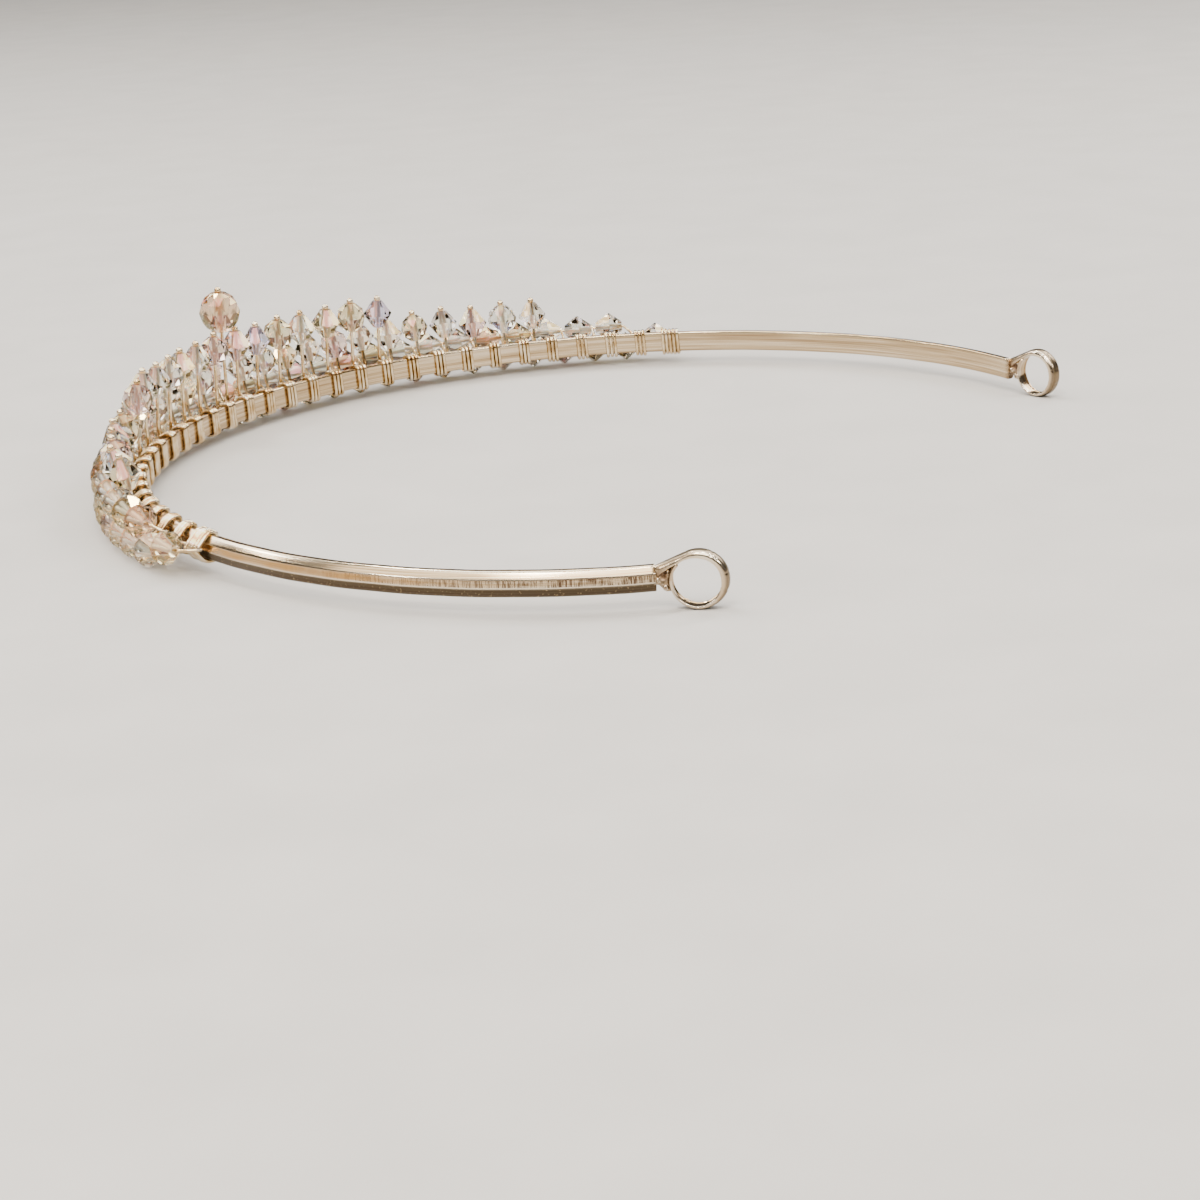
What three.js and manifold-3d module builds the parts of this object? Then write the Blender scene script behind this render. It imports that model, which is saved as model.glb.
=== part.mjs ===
// A wired crystal tiara: a D-section headband with an eyelet at each end, two rows of faceted glass
// beads lashed along its front, and taller beads on ball-headed pins that rise to a peak.
// Millimetres, +Z up. The wearer faces -Y, so their left side is +X and the eyelets are at the back.
// Places on the ornament are given as along (arc length from the front, + to the wearer's left),
// out (from the band's middle line, away from the head) and up (from the band's middle line).

import * as THREE from 'three';
import { mergeVertices } from 'three/addons/utils/BufferGeometryUtils.js';
import Module from 'manifold-3d';

const wasm = await Module();
wasm.setup();

// ---------------------------------------------------------------- driving dimensions

const HALF_WIDTH = 68; // middle line of the band, centre to side
const FRONT_DEPTH = 63.6; // centre to front
const SIDE_FLARE = 2; // how much further back the sides stand than on an ellipse
const EYELET_ANGLE = THREE.MathUtils.degToRad(127.2); // front to eyelet centre

const BAND_HEIGHT = 3.1;
const BAND_THICKNESS = 1.5;
const FLAT_TOP = 0.69; // where the outer middle flat meets the upper slope
const FLAT_BOTTOM = -0.35; // and the lower slope
const SHOULDER = 0.1; // how far out the upper edge reaches before its slope begins
const LOW_SHOULDER = 0.39; // and the lower edge
const BAND_STEPS = 72;

const EYELET_RADIUS = 3.5; // outside
const EYELET_HOLE = 2.75; // radius
const HOLE_OFFSET = -0.22; // the hole's middle from the eyelet's, towards the band and down
const EYELET_WIDTH = 1.9; // across the strip
const EYELET_NECK = 5; // eyelet centre back to the square end of the band
const EYELET_FLARE = THREE.MathUtils.degToRad(21); // outward bend where an eyelet leaves the band
const SOLDER_RADIUS = 0.6;

const CLEARANCE = 0.3; // between pieces that touch
const WIRE_RADIUS = 0.25;
const CARRIER_OUT = 1.38; // middle of the wire that runs along the outer face
const PIN_BALL = 0.5; // radius

const HALF_PITCH = 2.375; // half the spacing of the beads along the band's middle line
const ROW_LAST = 30; // half-pitches from the front to the end of the full rows
const BEAD_RADIUS = 2.2;
const BEAD_SLENDERNESS = 0.96; // half the length of a bead over its radius
const BEAD_END = 0.36; // flat end over the bead's radius
const PEAK_RADIUS = 3;
const ROW_OUT = 4;

const COLOURS = {
  metal: 0xc9b79f,
  wire: 0xd8cfc2,
  clear: 0xe9e6e1,
  champagne: 0xd8c6a8,
  blush: 0xd9b3ab,
  lavender: 0xc9b9c9,
  peach: 0xe0b394,
};

// ---------------------------------------------------------------- solids

// A three.js geometry as a manifold solid, placed by a matrix.
function solidFrom(geometry, matrix = new THREE.Matrix4()) {
  const bare = geometry.clone();
  bare.deleteAttribute('normal');
  bare.deleteAttribute('uv');
  const merged = mergeVertices(bare, 1e-4).applyMatrix4(matrix);
  return new wasm.Manifold(new wasm.Mesh({
    numProp: 3,
    vertProperties: new Float32Array(merged.attributes.position.array),
    triVerts: new Uint32Array(merged.index.array),
  }));
}

function join(solids) {
  return wasm.Manifold.union(solids);
}

// A manifold solid as a named mesh of one material.
function meshFrom(name, solid, material) {
  const { vertProperties, triVerts } = solid.getMesh();
  const geometry = new THREE.BufferGeometry();
  geometry.setAttribute('position', new THREE.BufferAttribute(vertProperties, 3));
  geometry.setIndex(new THREE.BufferAttribute(triVerts, 1));
  geometry.computeVertexNormals();
  const mesh = new THREE.Mesh(geometry, material);
  mesh.name = name;
  return mesh;
}

function metal(colour, roughness) {
  return new THREE.MeshStandardMaterial({ color: colour, roughness, metalness: 1 });
}

function crystal(colour) {
  return new THREE.MeshStandardMaterial({ color: colour, roughness: 0.08, metalness: 0 });
}

// ---------------------------------------------------------------- plan of the headband

// An open horseshoe from -reach to +reach radians round the front, `out` from the middle line.
class PlanCurve extends THREE.Curve {
  constructor(reach, out) {
    super();
    this.reach = reach;
    this.out = out;
    this.arcLengthDivisions = 600;
  }

  getPoint(u, target = new THREE.Vector3()) {
    const angle = (2 * u - 1) * this.reach;
    const sine = Math.sin(angle);
    const cosine = Math.cos(angle);
    const slopeX = HALF_WIDTH * cosine;
    const slopeY = (2 * SIDE_FLARE * cosine + FRONT_DEPTH) * sine;
    const offset = this.out / Math.hypot(slopeX, slopeY);
    const x = HALF_WIDTH * sine + offset * slopeY;
    const y = SIDE_FLARE * sine ** 2 - FRONT_DEPTH * cosine - offset * slopeX;
    return target.set(x, y, 0);
  }
}

const plan = new PlanCurve(EYELET_ANGLE, 0);
const PLAN_LENGTH = plan.getLength();
const UP = new THREE.Vector3(0, 0, 1);

// The place on the plan that is `along` from the front, with the direction that points out there.
function station(along) {
  const u = 0.5 + along / PLAN_LENGTH;
  const tangent = plan.getTangentAt(u);
  const outward = new THREE.Vector3().crossVectors(tangent, UP);
  return { origin: plan.getPointAt(u), tangent, outward };
}

function pointAt(along, out, up) {
  const { origin, outward } = station(along);
  return origin.addScaledVector(outward, out).addScaledVector(UP, up);
}

// A matrix that turns +Y of a drawn piece to `direction` and moves its middle to `centre`.
function aim(centre, direction) {
  const turn = new THREE.Quaternion().setFromUnitVectors(new THREE.Vector3(0, 1, 0), direction);
  return new THREE.Matrix4().compose(centre, turn, new THREE.Vector3(1, 1, 1));
}

// A straight piece of wire between two points.
function rod(from, to, radius) {
  const span = new THREE.Vector3().subVectors(to, from);
  const middle = new THREE.Vector3().addVectors(from, to).multiplyScalar(0.5);
  const geometry = new THREE.CylinderGeometry(radius, radius, span.length(), 5);
  return solidFrom(geometry, aim(middle, span.normalize()));
}

// ---------------------------------------------------------------- headband

// Section of the band as (out, up), grown by `margin`: flat inside, three soft flats outside.
function bandSection(margin) {
  const back = -BAND_THICKNESS / 2 - margin;
  const front = BAND_THICKNESS / 2 + margin;
  const top = BAND_HEIGHT / 2 + margin;
  const chamfer = 0.25;
  return [
    [back, top - chamfer],
    [back, chamfer - top],
    [back + chamfer, -top],
    [LOW_SHOULDER + 0.75 * margin, -top],
    [front, FLAT_BOTTOM - margin / 2],
    [front, FLAT_TOP + margin / 2],
    [SHOULDER + margin / 2, top],
    [back + chamfer, top],
  ];
}

// The sweep carries a drawn (x, y) as (down, in), so the section is turned to match.
function headbandSweep() {
  const bandAngle = EYELET_ANGLE * (1 - 2 * EYELET_NECK / PLAN_LENGTH);
  const outline = bandSection(0).map(([out, up]) => new THREE.Vector2(-up, -out));
  return new THREE.ExtrudeGeometry(new THREE.Shape(outline), {
    steps: BAND_STEPS,
    extrudePath: new PlanCurve(bandAngle, 0),
  });
}

// An eyelet drawn flat round its own centre, with its neck running back to the band at -x. The neck
// leaves the upper corner of the band on a tangent, as a strip that was forged and bent round.
function eyeletGeometry() {
  const overlap = 0.45;
  const corner = new THREE.Vector2(-EYELET_NECK - overlap, BAND_HEIGHT / 2);
  const leave = corner.angle() - Math.acos(EYELET_RADIUS / corner.length());
  const outline = new THREE.Shape();
  outline.moveTo(corner.x, 0);
  outline.lineTo(corner.x, corner.y);
  outline.absarc(0, 0, EYELET_RADIUS, leave, Math.PI, true);
  outline.closePath();
  const hole = new THREE.Path();
  hole.absarc(HOLE_OFFSET, HOLE_OFFSET, EYELET_HOLE, 0, 2 * Math.PI);
  outline.holes.push(hole);
  const geometry = new THREE.ExtrudeGeometry(outline, {
    depth: EYELET_WIDTH,
    bevelEnabled: false,
    curveSegments: 14,
  });
  return geometry.translate(0, 0, -EYELET_WIDTH / 2);
}

// Where an eyelet's drawing goes: x away from the band, y up. Side is 1 on the wearer's left and -1
// on their right. The eyelet is turned outward about the square end of the band.
function eyeletPlace(side) {
  const { origin, tangent, outward } = station(side * PLAN_LENGTH / 2);
  tangent.multiplyScalar(side);
  outward.multiplyScalar(side);
  return new THREE.Matrix4().makeBasis(tangent, UP, outward).setPosition(origin)
    .multiply(new THREE.Matrix4().makeTranslation(-EYELET_NECK, 0, 0))
    .multiply(new THREE.Matrix4().makeRotationY(-side * EYELET_FLARE))
    .multiply(new THREE.Matrix4().makeTranslation(EYELET_NECK, 0, 0));
}

// Two drops of solder close the loop onto the end of the band, under the neck.
const SOLDER_DROPS = [{ x: -4.5, y: -0.15 }, { x: -3.65, y: -1.2 }];

function eyelet(side) {
  const place = eyeletPlace(side);
  const solder = SOLDER_DROPS.map(({ x, y }) => {
    const drop = new THREE.SphereGeometry(SOLDER_RADIUS, 8, 6).translate(x, y, 0);
    return solidFrom(drop, place);
  });
  return join([solidFrom(eyeletGeometry(), place), ...solder]);
}

function headband() {
  const solid = join([solidFrom(headbandSweep()), eyelet(1), eyelet(-1)]);
  return meshFrom('headband', solid, metal(COLOURS.metal, 0.28));
}

// ---------------------------------------------------------------- beads

// A cut bead round +Y. Rings are (radius, height) as shares of the bead's own radius and half length.
const CUTS = {
  bicone: { sides: 8, rings: [[BEAD_END, 1], [1, 0], [BEAD_END, -1]] },
  round: { sides: 8, rings: [[BEAD_END, 1], [0.82, 0.6], [1, 0], [0.82, -0.6], [BEAD_END, -1]] },
};

function beadGeometry(cut, radius, bore, sides = CUTS[cut].sides) {
  const halfLength = radius * BEAD_SLENDERNESS;
  const profile = [new THREE.Vector2(bore, -halfLength)];
  for (const [share, height] of [...CUTS[cut].rings].reverse()) {
    profile.push(new THREE.Vector2(share * radius, height * halfLength));
  }
  profile.push(new THREE.Vector2(bore, halfLength));
  if (bore > 0) {
    profile.push(profile[0].clone());
  }
  return new THREE.LatheGeometry(profile, sides);
}

// A number between -1 and 1 that is always the same for the same bead: nothing tied by hand lies
// exactly in line.
function wander(index, channel) {
  const turn = Math.sin(index * 12.9898 + channel * 78.233) * 43758.5453;
  return 2 * (turn - Math.floor(turn)) - 1;
}

// ---------------------------------------------------------------- rows lashed to the band

// Each row is beads strung on a wire, with their holes along the band. The lower row runs on past
// the upper one, and its last bead climbs to the middle of the band.
const ROWS = [
  { name: 'lower_row', first: 0, last: ROW_LAST + 2, up: BEAD_RADIUS - EYELET_RADIUS },
  { name: 'upper_row', first: 1, last: ROW_LAST - 1, up: 1.95 },
];
const UPPER_SCATTER = 0.15; // the upper row lies free of the surface, so its beads vary in height

function rowBead(row, step) {
  const climb = THREE.MathUtils.smoothstep(Math.abs(step), ROW_LAST, ROW_LAST + 2);
  const lift = row.name === 'upper_row' ? UPPER_SCATTER * wander(step, 1) : 0;
  return pointAt(step * HALF_PITCH, ROW_OUT, row.up * (1 - climb) + lift);
}

function beadRow(row, side) {
  const solids = [];
  let previous = null;
  const start = side < 0 && row.first === 0 ? 2 : row.first;
  for (let step = start; step <= row.last; step += 2) {
    const centre = rowBead(row, side * step);
    const { tangent } = station(side * step * HALF_PITCH);
    const bead = beadGeometry('bicone', BEAD_RADIUS, 0, 6);
    solids.push(solidFrom(bead, aim(centre, tangent)));
    if (previous) {
      solids.push(rod(previous, centre, WIRE_RADIUS));
    }
    previous = centre;
  }
  const name = `${row.name}_${side > 0 ? 'left' : 'right'}`;
  return meshFrom(name, join(solids), crystal(COLOURS.clear));
}

// ---------------------------------------------------------------- beads on pins

// Front crystals stand between the beads of the upper row, and crest crystals between those. Steps
// are half-pitches from the front, where a tier stands higher by its rise and further out by its
// forward. The colours run from the wearer's right and then repeat.
const TIERS = [
  {
    name: 'front_crystal', first: 0, last: 24, up: 5.3, rise: 0.4, out: 2.6, forward: 1.7,
    colours: ['clear', 'clear', 'blush', 'clear', 'champagne'],
  },
  {
    name: 'crest_crystal', first: 1, last: 13, up: 9.15, rise: 0.4, out: 1, forward: 0,
    colours: ['lavender', 'champagne', 'champagne', 'clear', 'champagne', 'lavender', 'blush',
      'blush', 'clear', 'champagne', 'clear', 'clear', 'clear', 'blush'],
  },
];
const PEAK = { up: 14.8, out: 1.4 };
const RISE_SPAN = 9; // along the band, how quickly a tier falls from its rise at the front
const TIER_END = { from: 14, to: 26, drop: 0.5 }; // half-pitches over which a tier sinks, and how far
const PEAK_ROOM = 0.45; // how far the crystals beside the peak's pin stand aside for it
const PEAK_ROOM_SPAN = 2 * HALF_PITCH; // along the band, how quickly that room closes
const PLACE_SCATTER = 0.25;
const SIZE_SCATTER = 0.05;

function nearFront(along, span) {
  return Math.exp(-((along / span) ** 2));
}

// Every bead on a pin: its name, cut, colour, radius, and the place of its middle.
function pinnedBeads() {
  const beads = [];
  for (const tier of TIERS) {
    const steps = [];
    for (let step = tier.first; step <= tier.last; step += 2) {
      steps.push(...(step === 0 ? [0] : [-step, step]));
    }
    steps.sort((a, b) => a - b);
    steps.forEach((step, index) => {
      const aside = PEAK_ROOM * Math.sign(step) * nearFront(step * HALF_PITCH, PEAK_ROOM_SPAN);
      const along = step * HALF_PITCH + aside;
      const sunk = THREE.MathUtils.smoothstep(Math.abs(step), TIER_END.from, TIER_END.to);
      const up = tier.up + tier.rise * nearFront(along, RISE_SPAN) - TIER_END.drop * sunk;
      const out = tier.out + tier.forward * nearFront(along, HALF_PITCH);
      beads.push({
        name: `${tier.name}_${String(index + 1).padStart(2, '0')}`,
        cut: index % 3 === 1 ? 'round' : 'bicone',
        colour: tier.colours[index % tier.colours.length],
        radius: BEAD_RADIUS * (1 + SIZE_SCATTER * wander(step, 2)),
        along,
        out: out + PLACE_SCATTER * wander(step, 3),
        up: up + PLACE_SCATTER * wander(step, 4),
      });
    });
  }
  const peak = { name: 'peak_crystal', cut: 'round', colour: 'peach', radius: PEAK_RADIUS };
  beads.push({ ...peak, ...PEAK, along: 0 });
  return beads;
}

// A pin leans from its foot on the outer face of the band to the middle of its bead.
function pinPath(bead) {
  const foot = pointAt(bead.along, CARRIER_OUT, 0);
  const middle = pointAt(bead.along, bead.out, bead.up);
  const lean = new THREE.Vector3().subVectors(middle, foot).normalize();
  return { foot, middle, lean };
}

function pinnedBead(bead) {
  const { middle, lean } = pinPath(bead);
  const bore = WIRE_RADIUS + CLEARANCE;
  const solid = solidFrom(beadGeometry(bead.cut, bead.radius, bore), aim(middle, lean));
  return meshFrom(bead.name, solid, crystal(COLOURS[bead.colour]));
}

function pin(bead) {
  const { foot, middle, lean } = pinPath(bead);
  const reach = bead.radius * BEAD_SLENDERNESS + CLEARANCE + PIN_BALL * 0.9;
  const tip = middle.clone().addScaledVector(lean, reach);
  const ball = solidFrom(new THREE.SphereGeometry(PIN_BALL, 6, 3), aim(tip, lean));
  return join([rod(foot, tip, WIRE_RADIUS), ball]);
}

// ---------------------------------------------------------------- binding wire

// One turn of wire round the band, cut square, as a closed ring with clearance inside.
function turn(along) {
  const toPoints = (margin) => bandSection(margin).map(([out, up]) => new THREE.Vector2(-out, up));
  const ring = new THREE.Shape(toPoints(CLEARANCE + 2 * WIRE_RADIUS));
  ring.holes.push(new THREE.Path(toPoints(CLEARANCE).reverse()));
  const geometry = new THREE.ExtrudeGeometry(ring, { depth: 2 * WIRE_RADIUS, bevelEnabled: false });
  geometry.translate(0, 0, -WIRE_RADIUS);
  const { origin, tangent, outward } = station(along);
  const inward = outward.negate();
  const place = new THREE.Matrix4().makeBasis(inward, UP, tangent).setPosition(origin);
  return solidFrom(geometry, place);
}

// The wire that runs along the outer face and carries every turn and pin. It ends past the last bead.
function carrier(lastStep) {
  const reach = EYELET_ANGLE * 2 * lastStep * HALF_PITCH / PLAN_LENGTH;
  const outline = new THREE.Shape();
  outline.absarc(0, 0, WIRE_RADIUS, 0, 2 * Math.PI);
  return solidFrom(new THREE.ExtrudeGeometry(outline, {
    steps: 2 * lastStep,
    curveSegments: 2.5,
    extrudePath: new PlanCurve(reach, CARRIER_OUT),
  }));
}

function bindingWire(beads) {
  const lastStep = ROW_LAST + 3;
  const solids = [carrier(lastStep), ...beads.map(pin)];
  for (let step = -lastStep; step <= lastStep; step += 2) {
    solids.push(turn(step * HALF_PITCH));
  }
  return meshFrom('binding_wire', join(solids), metal(COLOURS.wire, 0.3));
}

// ---------------------------------------------------------------- assembly

const beads = pinnedBeads();
const tiara = new THREE.Group();
tiara.add(headband(), bindingWire(beads));
for (const row of ROWS) {
  tiara.add(beadRow(row, 1), beadRow(row, -1));
}
tiara.add(...beads.map(pinnedBead));

// The origin is the middle of the footprint, on the surface that the tiara stands on.
const bounds = new THREE.Box3().setFromObject(tiara, true);
const middle = bounds.getCenter(new THREE.Vector3());
tiara.position.set(-middle.x, -middle.y, -bounds.min.z);

export default tiara;
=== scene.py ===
"""A wired crystal tiara: a plated headband with an eyelet at each end, and cut glass beads along its front.

Sizes are in millimetres until a mesh is made. The wearer faces -Y, and their left side is +X. Places on
the ornament are given as along (arc length from the front, + to the wearer's left), out (away from the
head) and up, all from the band's middle line.
"""

import math

import bpy
import numpy as np
from mathutils import Matrix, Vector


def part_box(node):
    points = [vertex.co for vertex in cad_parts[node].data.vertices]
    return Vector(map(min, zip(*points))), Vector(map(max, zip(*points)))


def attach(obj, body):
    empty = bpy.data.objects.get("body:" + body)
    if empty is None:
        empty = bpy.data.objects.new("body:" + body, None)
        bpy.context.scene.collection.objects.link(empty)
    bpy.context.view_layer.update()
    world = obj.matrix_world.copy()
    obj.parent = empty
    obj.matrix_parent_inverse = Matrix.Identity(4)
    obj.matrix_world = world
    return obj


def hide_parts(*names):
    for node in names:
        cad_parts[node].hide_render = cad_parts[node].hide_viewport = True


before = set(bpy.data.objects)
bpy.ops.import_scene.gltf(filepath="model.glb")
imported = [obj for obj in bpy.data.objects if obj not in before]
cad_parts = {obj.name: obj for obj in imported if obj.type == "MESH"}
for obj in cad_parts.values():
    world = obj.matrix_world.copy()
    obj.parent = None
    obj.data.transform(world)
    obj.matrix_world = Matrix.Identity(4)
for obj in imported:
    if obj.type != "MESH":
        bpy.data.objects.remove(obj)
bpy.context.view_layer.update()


# ---------------------------------------------------------------- headband
# One length of brass wire, drawn to a D with three soft flats outside and bent to a horseshoe. Each end
# is forged to a thin strip and bent round into an eyelet, which solder closes. All of it is plated
# champagne-nickel.

MM = 0.001
UP = np.array([0.0, 0.0, 1.0])

HALF_WIDTH = 68.0  # middle line of the band, centre to side
FRONT_DEPTH = 63.6  # centre to front
SIDE_FLARE = 2.0  # how much further back the sides stand than on an ellipse
EYELET_ANGLE = math.radians(127.2)  # front to eyelet centre

BAND_HEIGHT = 3.1
BAND_THICKNESS = 1.5
FLAT_TOP, FLAT_BOTTOM = 0.69, -0.35  # heights where the outer middle flat meets the slopes
SHOULDER, LOW_SHOULDER = 0.1, 0.39  # how far out the upper and lower edges reach before the slopes begin
EYELET_RADIUS = 3.5  # outside
EYELET_NECK = 5.0  # eyelet centre back to the square end of the band
EYELET_FLARE = math.radians(21)  # outward bend where an eyelet leaves the band

# The plan's place in the frame comes from the CAD headband's box.
band_low, band_high = (np.array(corner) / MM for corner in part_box("headband"))
MIDDLE_BACK = band_low[1] + FRONT_DEPTH + BAND_THICKNESS / 2  # how far back the plan's own centre lies
MIDDLE_HEIGHT = band_high[2] - EYELET_RADIUS

ANGLES = np.linspace(-EYELET_ANGLE, EYELET_ANGLE, 4001)


def plan(angle):
    """The middle line at an angle round from the front: HALF_WIDTH times the sine to the side, and to the
    back SIDE_FLARE times the sine squared less FRONT_DEPTH times the cosine."""
    across = HALF_WIDTH * np.sin(angle)
    back = SIDE_FLARE * np.sin(angle) ** 2 - FRONT_DEPTH * np.cos(angle) + MIDDLE_BACK
    return np.stack([across, back, np.full_like(across, MIDDLE_HEIGHT)], -1)


STEP_LENGTHS = np.linalg.norm(np.diff(plan(ANGLES), axis=0), axis=1)
ARCS = np.concatenate([[0], np.cumsum(STEP_LENGTHS)]) - STEP_LENGTHS.sum() / 2
HALF_LENGTH = ARCS[-1]  # front to eyelet centre along the middle line


def unit(vectors):
    """Each vector over its own length."""
    return vectors / np.linalg.norm(vectors, axis=-1, keepdims=True)


def smoothstep(x, low, high):
    """0 below low, 1 above high, and 3t² - 2t³ between, for x on either side of the front."""
    t = np.clip((np.abs(x) - low) / (high - low), 0, 1)
    return t * t * (3 - 2 * t)


def station(along):
    """The middle line at an arc length from the front, the direction along it, which is the plan's slope
    over its own length, and the direction out from it, which is that one crossed with UP."""
    angle = np.interp(along, ARCS, ANGLES)
    rise = (2 * SIDE_FLARE * np.cos(angle) + FRONT_DEPTH) * np.sin(angle)
    tangent = unit(np.stack([HALF_WIDTH * np.cos(angle), rise, np.zeros_like(rise)], -1))
    return plan(angle), tangent, np.cross(tangent, UP)


def place(along, out, up):
    """Points at an arc length from the front, so far out and so far up from the middle line."""
    along, out, up = np.broadcast_arrays(along, out, up)
    middle, _, outward = station(along)
    return middle + out[..., None] * outward + up[..., None] * UP


def soft_outline(corners, radii, steps):
    """A polygon with each corner swapped for the curve (1-t)²A + 2t(1-t)C + t²B, where C is the corner
    and A and B lie a radius before and after it."""
    corners = np.array(corners, float)
    radii = np.array(radii, float)[:, None]
    before = corners + radii * unit(np.roll(corners, 1, axis=0) - corners)
    after = corners + radii * unit(np.roll(corners, -1, axis=0) - corners)
    t = np.linspace(0, 1, steps)[None, :, None]
    curve = (1 - t) ** 2 * before[:, None] + 2 * t * (1 - t) * corners[:, None] + t**2 * after[:, None]
    return curve.reshape(-1, 2)


def swept(grid, closed=False):
    """A shell from a grid of points, one row for each place on a path and one column for each point round
    it, which turn right-handed about the way the path goes. A fan round its middle shuts each open end."""
    rows, columns = grid.shape[:2]
    row = np.arange(rows if closed else rows - 1)[:, None]
    column = np.arange(columns)
    beside = (column + 1) % columns
    below, above = row * columns, (row + 1) % rows * columns
    walls = np.stack([below + column, below + beside, above + beside, above + column], -1)
    faces = walls.reshape(-1, 4).tolist()
    if closed:
        return grid.reshape(-1, 3), faces
    last = (rows - 1) * columns
    start = np.stack([np.full(columns, rows * columns), beside, column], -1)
    end = np.stack([np.full(columns, rows * columns + 1), last + column, last + beside], -1)
    points = np.concatenate([grid.reshape(-1, 3), grid[[0, -1]].mean(axis=1)])
    return points, faces + start.tolist() + end.tolist()


def make_mesh(name, shells, material, smooth=True, **patterns):
    """One mesh from shells of points in millimetres and faces. Each pattern is an array of one or three
    numbers a point that the material reads by its name."""
    starts = np.cumsum([0] + [len(points) for points, _ in shells]).tolist()
    faces = [[start + i for i in face] for start, (_, part) in zip(starts, shells) for face in part]
    mesh = bpy.data.meshes.new(name)
    mesh.from_pydata(np.concatenate([points for points, _ in shells]) * MM, [], faces)
    mesh.polygons.foreach_set("use_smooth", np.full(len(faces), smooth))
    for pattern, values in patterns.items():
        kind, field = ("FLOAT", "value") if values.ndim == 1 else ("FLOAT_VECTOR", "vector")
        attribute = mesh.attributes.new(pattern, kind, "POINT")
        attribute.data.foreach_set(field, values.astype(np.float32).ravel())
    mesh.materials.append(material)
    piece = bpy.data.objects.new(name, mesh)
    bpy.context.scene.collection.objects.link(piece)
    return piece


# The band: its outline clockwise as (out, up), carried along the middle line with the slight waver of
# wire that was bent by hand. The last rows draw in a little, as a sawn end that was filed.
top, front = BAND_HEIGHT / 2, BAND_THICKNESS / 2
band_corners = [
    (-front, top), (SHOULDER, top), (front, FLAT_TOP),
    (front, FLAT_BOTTOM), (LOW_SHOULDER, -top), (-front, -top),
]
CORNER_SOFTNESS = [0.3, 0.3, 0.17, 0.17, 0.3, 0.3]


def cut_even(outline, longest):
    """A closed outline with each edge cut into even parts, as many as its length over the longest allowed,
    rounded up."""
    edges = np.roll(outline, -1, axis=0) - outline
    parts = np.ceil(np.linalg.norm(edges, axis=1) / longest).astype(int)
    part = np.arange(parts.sum()) - np.repeat(np.cumsum(parts) - parts, parts)
    share = (part / np.repeat(parts, parts))[:, None]
    return np.repeat(outline, parts, axis=0) + share * np.repeat(edges, parts, axis=0)


BAND_COLUMN = 0.18  # the longest edge round the band
BAND_ROW = 0.5  # spacing of the rows along it
END_BEVEL = 0.06
WAVES = [(0.012, 3.1, 0.0), (0.01, 1.37, 2.0)]  # of the waver: height, length over 2 pi, and start
band_outline = cut_even(soft_outline(band_corners, CORNER_SOFTNESS, steps=6), BAND_COLUMN)
band_end = HALF_LENGTH - EYELET_NECK
band_along = np.linspace(-band_end + END_BEVEL, band_end - END_BEVEL, round(2 * band_end / BAND_ROW))
band_along = np.concatenate([[-band_end], band_along, [band_end]])
band_inset = np.where(np.abs(band_along) == band_end, 1 - END_BEVEL / front, 1)
waver = sum(height * np.sin(band_along / length + start) for height, length, start in WAVES)
waver_up = 0.8 * np.roll(waver, 9)  # a little weaker than the waver out, and nine rows behind it
band_out = band_outline[:, 0] * band_inset[:, None] + waver[:, None]
band_up = band_outline[:, 1] * (1 - (1 - band_inset) / 2)[:, None] + waver_up[:, None]
band_shell = swept(place(band_along[:, None], band_out, band_up))

# Where the band has changed since it was plated, and where light and shade are painted on it. The corners
# carry painted highlight lines, and the lower slope a painted dark reflection and shade. The middle flat is
# chattered towards the ends and worn to gold further forward, and solder flux has browned the ends. The
# first pattern, drawn, is where each point lay in the straight wire, for the grain that runs along it.
HIGHLIGHT_REACH = 0.1  # how far a painted highlight line spreads either side of its corner
CORNER_HIGHLIGHT = [0.5, 0.75, 1.0, 0.4]  # how bright the painted highlight on each outer corner is, from the top down
SLOPE_FADE = 0.12  # from bright to the painted dark reflection below the middle flat
SLOPE_INNER = -0.4  # how far in the painted dark reflection reaches
SLOPE_GOLD = 0.35  # how gold the lower slope is, over the middle flat
FLAT_MARGIN = 0.1  # bright margins of the middle flat
NO_CHATTER, FULL_CHATTER = 86.0, 134.0  # distances from the front
FULL_GOLD, NO_GOLD = 104.0, 128.0
FLUX_FROM, FLUX_FADE, FLUX_MOST = 0.5, 1.2, 0.5  # distance from the band's end, rate and limit

# Painted highlight lines along the outer corners of the band.
corner_gap = np.stack([np.hypot(*(band_outline - np.array(corner)).T) for corner in band_corners[1:5]])
painted_highlight_line = np.exp(-((corner_gap / HIGHLIGHT_REACH) ** 2)).T @ CORNER_HIGHLIGHT
outline_out, outline_up = band_outline.T
# Painted dark reflection and shade on the lower slope, below the middle flat.
below_flat = np.clip((FLAT_BOTTOM - outline_up) / SLOPE_FADE, 0, 1) * (outline_out > SLOPE_INNER)
in_margins = (outline_up > FLAT_BOTTOM + FLAT_MARGIN) & (outline_up < FLAT_TOP - FLAT_MARGIN)
on_flat = in_margins & (outline_out > front / 2)
chatter_share = smoothstep(band_along, NO_CHATTER, FULL_CHATTER)
gold_share = 1 - smoothstep(band_along, FULL_GOLD, NO_GOLD)
flux_share = np.clip((np.abs(band_along) - band_end + FLUX_FROM) / FLUX_FADE, 0, FLUX_MOST)
patterns = {
    "drawn": [np.stack(np.broadcast_arrays(band_along[:, None], band_out, band_up), -1)],
    "painted_highlight": [np.outer(np.ones_like(band_along), painted_highlight_line)],
    "painted_shade": [np.outer(np.ones_like(band_along), below_flat)],
    "chattered": [np.outer(chatter_share, on_flat)],
    "golden": [np.outer(gold_share, on_flat + SLOPE_GOLD * below_flat)],
    "fluxed": [np.outer(flux_share, np.ones_like(painted_highlight_line))],
}

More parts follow.
